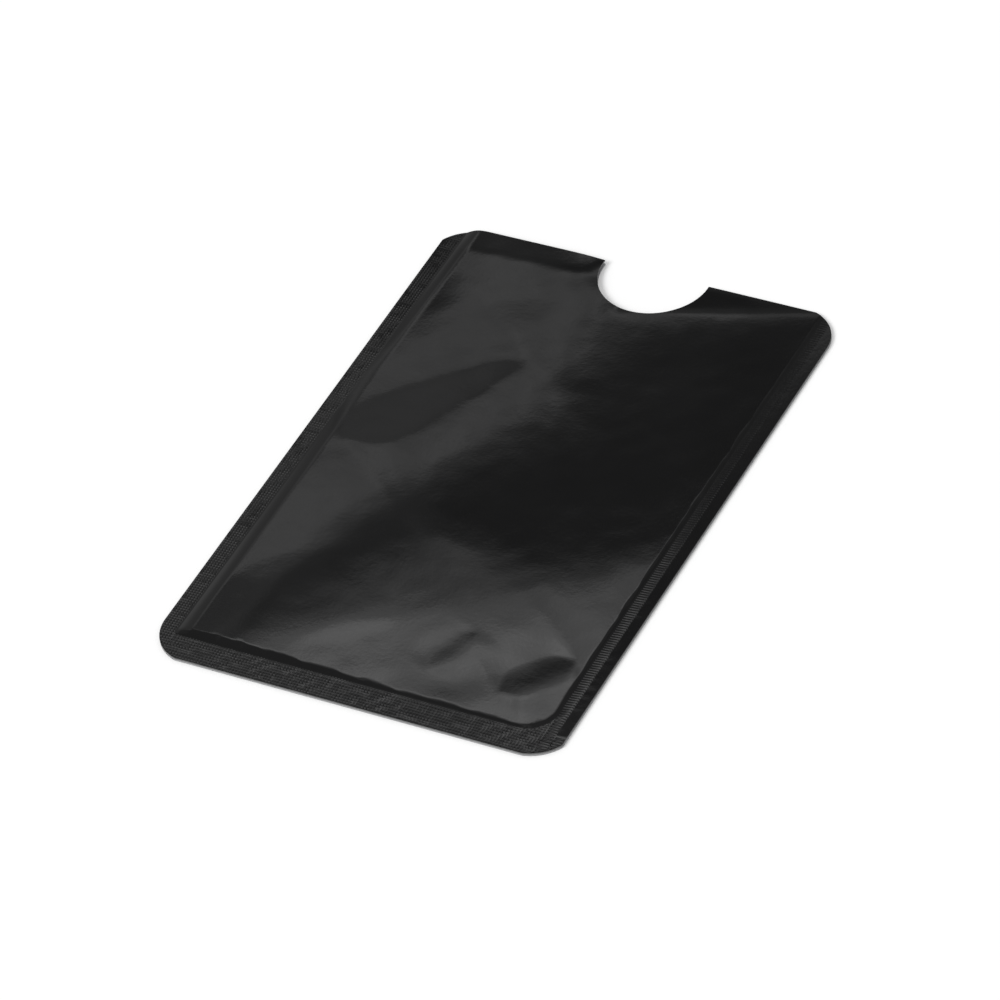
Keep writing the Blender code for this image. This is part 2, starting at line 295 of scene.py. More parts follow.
@dataclass(frozen=True)
class FilmFinish:
    """Black gloss film: a fine pebble in the gloss, faint rub marks, and a slight cloud."""

    dark: Colour = (0.0058, 0.0058, 0.005916, 1)
    pale: Colour = (0.0078, 0.0078, 0.007956, 1)
    ior: float = 1.5
    gloss_roughness: float = 0.030
    rubbed_roughness: float = 0.045
    rub_contrast: float = 2.0
    cloud: Grain = Grain(9.0 * MM, 4.0)
    rub: Grain = Grain(2.2 * MM, 5.0, (1, 3, 1))
    pebble: Grain = Grain(0.60 * MM, 2.0)
    pebble_depth: float = 0.0015 * MM
    mottle: Grain = Grain(0.18 * MM, 1.0)
    mottle_depth: float = 0.0008 * MM

    def material(self) -> Material:
        """Makes the film's material.

        Returns:
            The new material.
        """
        made = bpy.data.materials.new("black_gloss_film")
        graph = Graph(made)
        cloud = graph.grain(self.cloud)
        rubbed = cloud * graph.grain(self.rub) * self.rub_contrast
        spread = self.rubbed_roughness - self.gloss_roughness
        pebble = graph.bump(graph.grain(self.pebble), self.pebble_depth)
        graph.surface(
            Base_Color=graph.blend(cloud, self.dark, self.pale),
            Roughness=self.gloss_roughness + spread * rubbed,
            IOR=self.ior,
            Normal=graph.bump(graph.grain(self.mottle), self.mottle_depth, pebble),
        )
        return made


@dataclass(frozen=True)
class GrainFinish:
    """A finish whose colour and gloss follow one grain, and its bumps that or a finer one."""

    name: str
    dark: Colour
    pale: Colour
    grain: Grain
    depth: float
    roughness: float
    roughness_spread: float
    metallic: float = 0.0
    metallic_spread: float = 0.0
    bumps: Optional[Grain] = None

    def material(self) -> Material:
        """Makes the finish's material.

        Returns:
            The new material.
        """
        made = bpy.data.materials.new(self.name)
        graph = Graph(made)
        grain = graph.grain(self.grain)
        metallic = self.metallic
        if self.metallic_spread:
            metallic = self.metallic + self.metallic_spread * grain
        bumps = graph.grain(self.bumps) if self.bumps else grain
        graph.surface(
            Base_Color=graph.blend(grain, self.dark, self.pale),
            Roughness=self.roughness + self.roughness_spread * grain,
            Metallic=metallic,
            Normal=graph.bump(bumps, self.depth),
        )
        return made


@dataclass(frozen=True)
class CutEdgeFinish(GrainFinish):
    """The laminate's punched edge, where the layers end in a pale grey line."""

    name: str = "punched_laminate_edge"
    dark: Colour = (0.10, 0.10, 0.10, 1)
    pale: Colour = (0.22, 0.22, 0.22, 1)
    grain: Grain = Grain(0.3 * MM, 3.0)
    depth: float = 0.01 * MM
    roughness: float = 0.45
    roughness_spread: float = 0.20


@dataclass(frozen=True)
class FoilFinish(GrainFinish):
    """Rolled aluminium foil with faint rolling lines along the web."""

    name: str = "rolled_aluminium_foil"
    dark: Colour = (0.736, 0.744, 0.752, 1)
    pale: Colour = (0.800, 0.808, 0.816, 1)
    grain: Grain = Grain(0.4 * MM, 4.0, (6, 0.3, 1))
    depth: float = 0.002 * MM
    roughness: float = 0.22
    roughness_spread: float = 0.16
    metallic: float = 1.0


@dataclass(frozen=True)
class LinerFinish(GrainFinish):
    """Satin grey sealing film with a soft haze."""

    name: str = "satin_grey_liner"
    dark: Colour = (0.34, 0.34, 0.3468, 1)
    pale: Colour = (0.46, 0.46, 0.4692, 1)
    grain: Grain = Grain(3.0 * MM, 4.0)
    depth: float = 0.002 * MM
    roughness: float = 0.32
    roughness_spread: float = 0.16
    metallic: float = 0.3
    metallic_spread: float = 0.2
    bumps: Optional[Grain] = Grain(0.25 * MM, 2.0)


@dataclass(frozen=True)
class SealFinish(GrainFinish):
    """Melted sealant, dull and slightly lumpy."""

    name: str = "melted_sealant"
    dark: Colour = (0.22, 0.22, 0.22, 1)
    pale: Colour = (0.34, 0.34, 0.34, 1)
    grain: Grain = Grain(0.7 * MM, 3.0)
    depth: float = 0.01 * MM
    roughness: float = 0.42
    roughness_spread: float = 0.20


@dataclass(frozen=True)
class FloorFinish:
    """White table that the camera sees as clean white where the light reaches it."""

    colour: Colour = (0.93, 0.93, 0.93, 1)
    lift: float = 0.10

    def material(self) -> Material:
        """Makes the table's material.

        Returns:
            The new material.
        """
        made = bpy.data.materials.new("white_table")
        graph = Graph(made)
        seen = graph.add("LightPath", result="Is Camera Ray")
        glow = graph.add("Emission", values={"Color": WHITE, "Strength": seen * self.lift})
        matt = graph.add("BsdfDiffuse", values={"Color": self.colour})
        both = graph.add("AddShader", values={0: matt, 1: glow})
        graph.add("OutputMaterial", values={"Surface": both})
        return made


# The outline and the seals


@dataclass(frozen=True)
class PunchedCorner:
    """One punched corner: its side and end as signs, and how far the punch ran over each edge."""

    side: int
    end: int
    side_overcut: float = 0.0
    end_overcut: float = 0.0

    def arc(self, half: Vector, radius: float) -> tuple[Vector, Vector, float]:
        """The punched arc, anticlockwise round the outline.

        Args:
            half: Half the outline's width and length.
            radius: The punch's radius.

        Returns:
            The arc's first point, its centre and the angle that it turns through.
        """
        inset = Vector((radius - self.side_overcut, radius - self.end_overcut))
        centre = Vector((self.side * (half.x - inset.x), self.end * (half.y - inset.y), 0))
        on_side = Vector((self.side * inset.x, self.end * math.sqrt(radius**2 - inset.x**2), 0))
        on_end = Vector((self.side * math.sqrt(radius**2 - inset.y**2), self.end * inset.y, 0))
        turn = math.pi / 2 - math.acos(inset.x / radius) - math.acos(inset.y / radius)
        first = on_side if self.side == self.end else on_end
        return centre + first, centre, turn


@dataclass(frozen=True)
class Outline:
    """The cut outline that both webs share: four punched corners and a thumb notch."""

    width: float
    length: float
    corner_radius: float = 6.35 * MM
    notch_radius: float = 8.05 * MM
    notch_offset: float = 1.55 * MM
    notch_sink: float = 0.55 * MM
    corners: tuple[PunchedCorner, ...] = (
        PunchedCorner(-1, -1, 0.0, 0.19 * MM),
        PunchedCorner(1, -1, 0.84 * MM, 0.1 * MM),
        PunchedCorner(1, 1, 0.0, 0.28 * MM),
        PunchedCorner(-1, 1, 0.78 * MM, 0.0),
    )
    corner_steps: int = 16
    notch_steps: int = 56

    def plan(self) -> BMesh:
        """Spins the corners and the notch, and fills the outline as one flat face.

        Returns:
            A mesh with that one face, which points up.
        """
        half = Vector((self.width / 2, self.length / 2))
        half_mouth = math.sqrt(self.notch_radius**2 - self.notch_sink**2)
        notch_start = Vector((self.notch_offset + half_mouth, half.y, 0))
        notch_centre = Vector((self.notch_offset, half.y - self.notch_sink, 0))
        notch_turn = -math.pi - 2 * math.asin(self.notch_sink / self.notch_radius)
        radius = self.corner_radius
        arcs = [(*corner.arc(half, radius), self.corner_steps) for corner in self.corners]
        # The notch lies between the two corners at the mouth.
        arcs.insert(3, (notch_start, notch_centre, notch_turn, self.notch_steps))
        plan = bmesh.new()
        chains = [self._spin(plan, *arc) for arc in arcs]
        for (_, last), (first, _) in zip(chains, chains[1:] + chains[:1]):
            bmesh.ops.contextual_create(plan, geom=[last, first])
        bmesh.ops.contextual_create(plan, geom=plan.edges[:])
        plan.normal_update()
        if plan.faces[:][0].normal.z < 0:
            bmesh.ops.reverse_faces(plan, faces=plan.faces[:])
        return plan

    @staticmethod
    def _spin(
        plan: BMesh, first: Vector, centre: Vector, turn: float, steps: int
    ) -> tuple[BMVert, BMVert]:
        """Spins a point into an arc.

        Args:
            plan: The mesh that gets the arc.
            first: The arc's first point.
            centre: The arc's centre.
            turn: The angle that it turns through.
            steps: How many edges it has.

        Returns:
            The arc's two ends.
        """
        start = bmesh.ops.create_vert(plan, co=first)["vert"][0]
        spun = bmesh.ops.spin(
            plan, geom=[start], cent=centre, axis=(0, 0, 1), angle=turn, steps=steps
        )
        return start, spun["geom_last"][0]


@dataclass(frozen=True)
class Fade:
    """A smooth change along the sleeve, from one value before its start to another past its end."""

    start: float
    end: float
    before: float
    past: float

    def at(self, y: float) -> float:
        """The value at a place along the sleeve."""
        run = (y - self.start) / (self.end - self.start)
        return self.before + (self.past - self.before) * ease(run)


@dataclass(frozen=True)
class SealBands:
    """Widths of the heat seals, and the fine net that the sealing bars press into them.

    The bars took hold best at the foot and least at the mouth. The right band is pressed in ribs
    with a plain strip beyond them. The side bands rise a little to their outer edges, and the
    bottom band to the mouth.
    """

    half_width: float
    left: float = 2.6 * MM
    right: float = 3.1 * MM
    bottom: float = 4.25 * MM
    pitch: float = 0.45 * MM
    ridge: float = 0.15 * MM
    depth: float = 0.036 * MM
    least: float = 0.20
    usual: float = 0.72
    most: float = 1.1
    patch_size: float = 4.5 * MM
    patch_change: float = 0.385
    spot_size: float = 1.1 * MM
    spot_change: float = 0.88
    left_force: Fade = Fade(40.0 * MM, 12.0 * MM, 0.224, 0.56)
    right_force: Fade = Fade(10.0 * MM, -35.0 * MM, 0.06, 0.55)
    foot_force: Fade = Fade(-38.5 * MM, -41.5 * MM, 0.0, 0.45)
    right_ribs: float = 1.6 * MM
    left_lean: Fade = Fade(8.0 * MM, 34.0 * MM, 0.0, 0.028)
    right_lean: Fade = Fade(20.0 * MM, -40.0 * MM, 0.0, 0.015)
    bottom_lean: float = 0.011

    @property
    def left_end(self) -> float:
        """Inner edge of the left seal."""
        return self.left - self.half_width

    @property
    def right_start(self) -> float:
        """Inner edge of the right seal."""
        return self.half_width - self.right

    @property
    def ribs_end(self) -> float:
        """Outer end of the right seal's ribs, where its plain strip begins."""
        return self.right_start + self.right_ribs

    def pressed(self, place: Vector) -> float:
        """How deep the net is pressed, which is uneven from spot to spot.

        Args:
            place: A place in the plan.

        Returns:
            The depth.
        """
        patch = self.patch_change * noise.noise(place / self.patch_size)
        spot = self.spot_change * noise.noise(place / self.spot_size)
        share = min(max(self.usual + patch + spot, self.least), self.most)
        return self.depth * share * self.force(place)

    def force(self, place: Vector) -> float:
        """Share of the depth that the bars reached at a place."""
        if place.x < self.left_end:
            return self.left_force.at(place.y)
        return self.right_force.at(place.y) + self.foot_force.at(place.y)


# Forms of the billow, which are in millimetres


@dataclass(frozen=True)
class Fold:
    """A straight line in the plan, given by a point on it and the direction of fall in degrees."""

    across: float
    along: float
    turn: float

    def split(self, x: float, y: float) -> tuple[float, float]:
        """Measures from the fold's point to another point.

        Args:
            x: Place across the sleeve.
            y: Place along the sleeve.

        Returns:
            How far it lies in the direction of fall, and how far left of it.
        """
        cosine = math.cos(math.radians(self.turn))
        sine = math.sin(math.radians(self.turn))
        away_x, away_y = x - self.across, y - self.along
        return away_x * cosine + away_y * sine, away_y * cosine - away_x * sine


@dataclass(frozen=True)
class Flank:
    """A side of the billow: level before its folds, and an even slope beyond all of them."""

    slope: float
    bend: float
    folds: tuple[Fold, ...]

    def lift(self, x: float, y: float) -> float:
        """Height that the flank adds.

        Args:
            x: Place across the sleeve.
            y: Place along the sleeve.

        Returns:
            The height, which is less than 0 where the flank falls.
        """
        beyond = [fold.split(x, y)[0] / self.bend for fold in self.folds]
        nearest = min(beyond)
        nearest -= math.log(sum(math.exp(nearest - length) for length in beyond))
        return -self.slope * self.bend * soften(nearest)


@dataclass(frozen=True)
class Bank:
    """A short bank of even slope that rises to the left of its line, with level web round it."""

    line: Fold
    half_length: float
    half_width: float
    widening: float
    slope: float
    reach: float
    bend: float
    power: int = 6
    taper: float = 0.3
    end_share: float = 1.6

    def lift(self, x: float, y: float) -> float:
        """Height that the bank adds.

        Args:
            x: Place across the sleeve.
            y: Place along the sleeve.

        Returns:
            The height, which is less than 0 right of the bank's line.
        """
        lengthwise, crosswise = self.line.split(x, y)
        held = min(max(lengthwise, -self.half_length), self.half_length)
        share = min(abs(lengthwise) / self.half_length, self.end_share)
        ends = self.taper * soften((1 - share**self.power) / self.taper)
        width = (self.half_width + self.widening * held) * ends
        ramp = soften((crosswise + width) / self.bend) - soften((crosswise - width) / self.bend)
        return self.slope * (self.bend * ramp - width) * bell(crosswise / self.reach)


@dataclass(frozen=True)
class Sweep:
    """A part of the web that curls up evenly beyond a line."""

    line: Fold
    curve: float

    def lift(self, x: float, y: float) -> float:
        """Height that the sweep adds at a place."""
        return 0.5 * self.curve * max(self.line.split(x, y)[0], 0.0) ** 2


@dataclass(frozen=True)
class Buckle:
    """A soft round fold of the front web, or a dent if it sinks."""

    line: Fold
    half_length: float
    half_width: float
    rise: float

    def lift(self, x: float, y: float) -> float:
        """Height that the buckle adds at a place."""
        lengthwise, crosswise = self.line.split(x, y)
        return self.rise * bell(lengthwise / self.half_length, crosswise / self.half_width)


@dataclass(frozen=True)
class Ripple:
    """Small uneven waves of the slack web."""

    size: float
    rise: float

    def lift(self, x: float, y: float) -> float:
        """Height of the waves at a place."""
        return self.rise * noise.noise(Vector((x, y, 0)) / self.size)


# The front web's height, and the meshes of both webs


@dataclass(frozen=True)
class Patch:
    """A part of the pocket with crisp folds, where the web gets a finer grid."""

    low: Vector
    high: Vector

    def holds(self, place: Vector) -> bool:
        """Whether a place lies in the patch."""
        return self.low.x < place.x < self.high.x and self.low.y < place.y < self.high.y


@dataclass(frozen=True)
class Pocket:
    """Height of the slack front web over the card pocket.

    The web leaves the seals in shoulders, steep and uneven at the right and the foot, where the
    corner between them is rounded. Over the pocket it is nearly level in the middle and falls in
    flat flanks to the left, to the right and to the foot.
    """

    outline: Outline
    bands: SealBands
    left_shoulder: float = 1.9 * MM
    right_shoulder: float = 0.50 * MM
    corner_radius: float = 4.0 * MM
    foot_shoulder: float = 0.9 * MM
    foot_slant: float = 0.45
    foot_waves: float = 0.6
    foot_ripples: float = 0.3
    right_waves: float = 0.4
    wave_size: float = 3.5 * MM
    ripple_size: float = 1.2 * MM
    rise: float = 0.50 * MM
    least: float = 0.04 * MM
    forms: tuple[Union[Flank, Bank, Sweep, Buckle, Ripple], ...] = (
        Sweep(Fold(-5.44, 8.39, 123), 0.00025),
        Flank(0.0184, 2.6, (Fold(-1.8, 15.0, 180), Fold(-3.0, 8.0, 153))),
        Flank(0.0036, 1.5, (Fold(-9.5, -18, 160), Fold(-9.5, -12, 250))),
        Flank(0.0160, 4.0, (Fold(-2.5, 30.0, 22),)),
        Flank(0.0112, 2.0, (Fold(0, -12.2, 270), Fold(-14.5, -19.0, 340), Fold(13.0, -15.0, 228))),
        Flank(0.0108, 1.3, (Fold(4, -24.6, 305.5), Fold(-15.5, -37, 345))),
        Flank(0.0100, 1.3, (Fold(-24, -28.5, 295), Fold(-20, -34, 190))),
        Flank(0.0090, 1.0, (Fold(2.0, 35.9, 109), Fold(0.0, 34.0, 20))),
        Flank(0.040, 0.35, (Fold(1.5, 36.9, 109), Fold(-0.5, 36.0, 20))),
        Flank(-0.028, 0.4, (Fold(-16.0, 41.7, 92), Fold(-5.0, 42.0, 180))),
        Flank(-0.0040, 3.0, (Fold(5.0, 25.0, 90), Fold(2.0, 30.0, 0))),
        Bank(Fold(-16.1, 12.1, 232.6), 13.7, 3.7, 0.145, 0.0155, 24, 0.5),
        Bank(Fold(-13, 30.5, 233), 5, 3.4, 0.0, 0.0036, 12, 0.8, 2),
        Bank(Fold(21.7, -32.2, 230), 5.2, 2.9, 0.0, 0.0180, 6, 0.2, 4),
        Bank(Fold(8.7, -31.6, 250), 4.3, 1.5, 0.0, 0.014, 4, 0.3, 4),
        Bank(Fold(12.5, -38.8, 200), 5, 2.4, 0.0, 0.010, 5, 1.0, 2),
        Bank(Fold(-6.5, -33.5, 215), 7, 1.8, 0.0, -0.010, 6, 0.8, 2),
        Buckle(Fold(-31.5, 33.5, 90), 10.0, 6.5, 0.14),
        Buckle(Fold(-5.0, 46.0, 0), 3.6, 3.6, -0.16),
        Ripple(9.0, 0.007),
        Ripple(3.0, 0.0032),
    )

    @property
    def bottom(self) -> float:
        """Inner edge of the bottom seal."""
        return self.bands.bottom - self.outline.length / 2

    def corner(self, x: float, y: float) -> tuple[float, float]:
        """How far a place lies into the rounded lower right corner, across and along."""
        return x - self.bands.right_start + self.corner_radius, self.bottom + self.corner_radius - y

    def holds(self, place: Vector) -> bool:
        """Whether a place lies over the pocket and not in a seal.

        Args:
            place: A place in the plan.

        Returns:
            True over the pocket.
        """
        across, along = self.corner(place.x, place.y)
        if min(across, along) > 0 and math.hypot(across, along) > self.corner_radius:
            return False
        return self.bands.left_end < place.x < self.bands.right_start and place.y > self.bottom

    @staticmethod
    def shoulder(distance: float, width: float) -> float:
        """Share of the rise at a distance in from a seal: steep at the seal, level at the width."""
        run = min(max(distance / width, 0), 1)
        return 1 - (1 - run) ** 2

    def rim(self, x: float, y: float) -> float:
        """Share of the rise near the right seal, the bottom seal and the corner between them.

        Args:
            x: Place across the sleeve.
            y: Place along the sleeve.

        Returns:
            The share, which is 1 away from them.
        """
        row = Vector((x, 0, 0))
        column = Vector((0, y, 0))
        uneven = 1.0 + self.foot_waves * noise.noise(row / self.wave_size)
        uneven += self.foot_ripples * noise.noise(row / self.ripple_size)
        foot = self.foot_shoulder * (uneven - self.foot_slant * x / self.bands.right_start)
        ragged = 1.0 + self.right_waves * noise.noise(column / self.wave_size)
        right = self.right_shoulder * ragged
        across, along = self.corner(x, y)
        if min(across, along) > 0:
            turn = math.atan2(across, along) / (math.pi / 2)
            inward = self.corner_radius - math.hypot(across, along)
            return self.shoulder(inward, foot + (right - foot) * turn)
        beside = self.shoulder(self.bands.right_start - x, right)
        return beside * self.shoulder(y - self.bottom, foot)

    def lift(self, x: float, y: float) -> float:
        """Height of the front web over its sealed plane.

        Args:
            x: Place across the sleeve.
            y: Place along the sleeve.

        Returns:
            The height, which is 0 in the seals.
        """
        if not self.holds(Vector((x, y, 0))):
            return 0.0
        share = self.shoulder(x - self.bands.left_end, self.left_shoulder) * self.rim(x, y)
        body = self.rise + MM * sum(form.lift(x / MM, y / MM) for form in self.forms)
        bend = self.least / 2
        body = self.least + bend * soften((body - self.least) / bend)
        return share * body


class WebPlan:
    """The flat plan of a web, sliced into seal cells and a fine grid over the pocket.

    A slice that runs within the snap of a point goes through it. The shoulders are sliced at shares
    of the pitch in from the seals.
    """

    snap: float = 0.06 * MM
    shoulder_shares: tuple[float, ...] = (0.25, 0.5, 0.75, 1.5, 2.5)

    def __init__(self, pocket: Pocket) -> None:
        """Starts from the whole outline as one face, sliced along and across.

        Args:
            pocket: The pocket, whose seals give the pitch of the cells.
        """
        self.pocket = pocket
        self.pitch = pocket.bands.pitch
        self.mesh = pocket.outline.plan()
        self._slice_grid()

    def slice(self, faces: Sequence[BMFace], axis: Axis, places: Iterable[float]) -> None:
        """Cuts faces along parallel lines, one after another.

        Args:
            faces: The faces to cut.
            axis: The direction that the places are measured in.
            places: Where the lines run.
        """
        line, normal = Vector(), Vector()
        normal[axis.value] = 1
        rest = list(faces)
        for place in sorted(places):
            line[axis.value] = place
            geometry = set(rest)
            for face in rest:
                geometry.update(face.edges)
                geometry.update(face.verts)
            cut = bmesh.ops.bisect_plane(
                self.mesh, geom=list(geometry), dist=self.snap, plane_co=line, plane_no=normal
            )
            pieces = [item for item in cut["geom"] if isinstance(item, BMFace)]
            rest = [face for face in pieces if face.calc_center_median()[axis.value] > place]

    def faces(self, wanted: Callable[[Vector], bool]) -> list[BMFace]:
        """Faces whose middle is at a wanted place."""
        return [face for face in self.mesh.faces if wanted(face.calc_center_median())]

    def steps(self, low: float, high: float) -> list[float]:
        """Even places from low to high, both included, about a pitch apart."""
        count = max(1, round((high - low) / self.pitch))
        return [low + (high - low) * index / count for index in range(count + 1)]

    def _slice_grid(self) -> None:
        """Cuts the whole web at the pitch in the seals and over the pocket, and at the ribs' end."""
        bands, bottom, end = self.pocket.bands, self.pocket.bottom, self.pocket.outline.length / 2
        rows = self.steps(-end, bottom)[1:] + self.steps(bottom, end)[1:-1]
        self.slice(self.mesh.faces[:], Axis.ALONG, rows)
        columns = self.steps(-bands.half_width, bands.left_end)[1:]
        columns += self.steps(bands.left_end, bands.right_start)[1:] + [bands.ribs_end]
        self.slice(self.mesh.faces[:], Axis.ACROSS, columns)

    def slice_shoulders(self) -> None:
        """Cuts the pocket more finely where the web climbs out of the seals."""
        bands, bottom = self.pocket.bands, self.pocket.bottom
        near = [self.pitch * share for share in self.shoulder_shares]
        sides = [bands.left_end + step for step in near]
        sides += [bands.right_start - step for step in near]
        self.slice(self.faces(self.pocket.holds), Axis.ACROSS, sides)
        self.slice(self.faces(self.pocket.holds), Axis.ALONG, [bottom + step for step in near])

    def slice_patch(self, patch: Patch) -> None:
        """Halves the grid's cells in a part of the pocket.

        Args:
            patch: The part.
        """
        across = self.steps(self.pocket.bands.left_end, self.pocket.bands.right_start)
        along = self.steps(self.pocket.bottom, self.pocket.outline.length / 2)
        for axis, lines in ((Axis.ACROSS, across), (Axis.ALONG, along)):
            low, high = patch.low[axis.value], patch.high[axis.value]
            middles = [(first + second) / 2 for first, second in zip(lines, lines[1:])]
            wanted = [place for place in middles if low < place < high]
            self.slice(self.faces(patch.holds), axis, wanted)


class Sheet:
    """One layer of a web: its flat plan, thickened, pressed and billowed.

    A face counts as part of a side where its normal has more than the facing to that side. A cell
    is pressed if its sides come to more than the smallest share of the pitch.
    """

    facing: float = 0.5
    smallest_share: float = 0.6
    crease: float = math.radians(50)

    def __init__(self, plan: BMesh, thickness: float) -> None:
        """Extrudes a copy of a flat plan upwards into a closed sheet.

        Args:
            plan: The flat plan.
            thickness: The sheet's thickness.
        """
        self.mesh = plan.copy()
        grown = bmesh.ops.extrude_face_region(self.mesh, geom=self.mesh.faces[:])
        upper = [item for item in grown["geom"] if isinstance(item, BMVert)]
        bmesh.ops.translate(self.mesh, verts=upper, vec=Vector((0, 0, thickness)))
        bmesh.ops.recalc_face_normals(self.mesh, faces=self.mesh.faces[:])
        self.mesh.normal_update()
        for face in self.mesh.faces:
            face.smooth = True
            face.material_index = 0 if abs(face.normal.z) > self.facing else 1

    def press(
        self,
        bands: SealBands,
        side: int,
        in_band: Callable[[Vector], bool],
        tilt: Callable[[Vector], Vector] = lambda place: Vector(),
    ) -> None:
        """Presses the sealing bars' net into one face of the sheet.

        Args:
            bands: The seal bands, which give the net's depth.
            side: 1 for the upper face and -1 for the lower one.
            in_band: Whether a place lies in a pressed band.
            tilt: How steeply the floor of a cell rises to the right and to the mouth.
        """
        smallest = (bands.pitch * self.smallest_share) ** 2
        cells = [
            face
            for face in self.mesh.faces
            if face.normal.z * side > self.facing
            and in_band(face.calc_center_median())
            and face.calc_area() > smallest
        ]
        walls = bmesh.ops.inset_individual(
            self.mesh, faces=cells, thickness=bands.ridge, use_even_offset=True
        )
        for face in cells + walls["faces"]:
            face.smooth = False
        for face in cells:
            middle = face.calc_center_median()
            slope = tilt(middle)
            for vert in face.verts:
                vert.co.z += slope.dot(vert.co - middle) - side * bands.pressed(vert.co)

    def swell(self, rise: Callable[[Vector], float]) -> None:
        """Thickens the sheet from above.

        Args:
            rise: By how much at a place.
        """
        upper = [face for face in self.mesh.faces if face.normal.z > self.facing]
        for vert in {vert for face in upper for vert in face.verts}:
            vert.co.z += rise(vert.co)

    def billow(self, lift: Callable[[float, float], float]) -> None:
        """Lifts the sheet by the height of the web at each point."""
        for vert in self.mesh.verts:
            vert.co.z += lift(vert.co.x, vert.co.y)

    def finish(self, name: str, underside: float, materials: Sequence[Material]) -> Object:
        """Makes the sheet an object.

        Args:
            name: The piece's name.
            underside: Height of the sheet's flat underside.
            materials: Materials of its faces and of its cut edge.

        Returns:
            The object, at the origin, with its place in its mesh.
        """
        bmesh.ops.translate(self.mesh, verts=self.mesh.verts[:], vec=Vector((0, 0, underside)))
        bmesh.ops.triangulate(self.mesh, faces=[f for f in self.mesh.faces if len(f.verts) > 4])
        mesh = bpy.data.meshes.new(name)
        self.mesh.to_mesh(mesh)
        self.mesh.free()
        mesh.set_sharp_from_angle(angle=self.crease)
        for material in materials:
            mesh.materials.append(material)
        piece = bpy.data.objects.new(name, mesh)
        bpy.context.scene.collection.objects.link(piece)
        return piece


# Sub-assemblies


class Finishes:
    """The materials that the pieces share: one for each slot, and one for the cut edge."""

    def __init__(self) -> None:
        """Makes the materials."""
        self.by_slot = {
            Slot.OUTER_FILM: FilmFinish().material(),
            Slot.FOIL: FoilFinish().material(),
            Slot.LINER: LinerFinish().material(),
            Slot.SEAL: SealFinish().material(),
        }
        self.cut_edge = CutEdgeFinish().material()

    def of_sheet(self, slot: Slot) -> tuple[Material, Material]:
        """The materials of a sheet's faces and of its cut edge."""
        return self.by_slot[slot], self.cut_edge


@dataclass(frozen=True)
class Layer:
    """One layer of the front web: its new piece, the solid that it stands for and its thickness."""

    name: str
    node: str
    slot: Slot
    thickness: float


@dataclass
class FrontWeb:
    """The billowed front web: outer film, foil and liner as finer sheets of one plan."""

    pocket: Pocket
    finishes: Finishes
    patches: tuple[Patch, ...] = (
        Patch(Vector((-27.2 * MM, -1.5 * MM)), Vector((-6.5 * MM, 24.5 * MM))),
        Patch(Vector((3.5 * MM, -36.3 * MM)), Vector((27.0 * MM, -26.5 * MM))),
    )
    layers: tuple[Layer, ...] = (
        Layer("front_liner_sheet", "front_inner_liner", Slot.LINER, 0.1 * MM),
        Layer("front_foil_sheet", "front_foil_shield", Slot.FOIL, 0.03 * MM),
        Layer("front_film_sheet", "front_outer_film", Slot.OUTER_FILM, 0.05 * MM),
    )

    def in_band(self, place: Vector) -> bool:
        """Whether the sealing bars pressed their net at a place."""
        plain = place.x > self.pocket.bands.ribs_end and place.y > self.pocket.bottom
        return not plain and not self.pocket.holds(place)

    def tilt(self, place: Vector) -> Vector:
        """Slope of a pressed cell's floor.

        Args:
            place: The cell's middle.

        Returns:
            How steeply the floor rises to the right and to the mouth.
        """
        bands = self.pocket.bands
        if place.y < self.pocket.bottom:
            return Vector((0, bands.bottom_lean, 0))
        if place.x > bands.right_start:
            return Vector((bands.right_lean.at(place.y), 0, 0))
        return Vector()

    def edge_rise(self, place: Vector) -> float:
        """How much the film swells in the left band and in the right band's plain strip.

        Args:
            place: A place in the plan.

        Returns:
            The rise, which is 0 elsewhere.
        """
        bands = self.pocket.bands
        right = max(place.x - bands.ribs_end, 0.0) * bands.right_lean.at(place.y)
        return right + max(bands.left_end - place.x, 0.0) * bands.left_lean.at(place.y)

    def build(self) -> None:
        """Builds the three sheets in place of their solids."""
        plan = WebPlan(self.pocket)
        plan.slice_shoulders()
        for patch in self.patches:
            plan.slice_patch(patch)
        lift = cache(self.pocket.lift)
        for layer in self.layers:
            low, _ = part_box(layer.node)
            sheet = Sheet(plan.mesh, layer.thickness)
            if layer.slot is Slot.OUTER_FILM:
                sheet.swell(self.edge_rise)
                sheet.press(self.pocket.bands, 1, self.in_band, self.tilt)
            sheet.billow(lift)
            piece = sheet.finish(layer.name, low.z, self.finishes.of_sheet(layer.slot))
            place_piece(piece, layer.node)
        plan.mesh.free()


@dataclass
class BackWeb:
    """The flat back web: its outer film is pressed too, and the rest keeps its solids."""

    pocket: Pocket
    finishes: Finishes
    nodes: Mapping[str, Object]

    def in_band(self, place: Vector) -> bool:
        """Whether the sealing bars pressed their net at a place."""
        return not self.pocket.holds(place)

    def build(self) -> None:
        """Builds the outer film and dresses the foil and the liner."""
        plan = WebPlan(self.pocket)
        low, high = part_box("back_outer_film")
        sheet = Sheet(plan.mesh, high.z - low.z)
        sheet.press(self.pocket.bands, -1, self.in_band)
        piece = sheet.finish("back_film_sheet", low.z, self.finishes.of_sheet(Slot.OUTER_FILM))
        place_piece(piece, "back_outer_film")
        plan.mesh.free()
        dress(self.nodes["back_foil_shield"], self.finishes.by_slot[Slot.FOIL])
        dress(self.nodes["back_inner_liner"], self.finishes.by_slot[Slot.LINER])


@dataclass
class Seals:
    """The three melted seals between the liners, which keep their solids."""

    finishes: Finishes
    nodes: Mapping[str, Object]
    names: tuple[str, ...] = ("bottom_seal", "left_seal", "right_seal")

    def build(self) -> None:
        """Dresses the seals."""
        for name in self.names:
            dress(self.nodes[name], self.finishes.by_slot[Slot.SEAL])


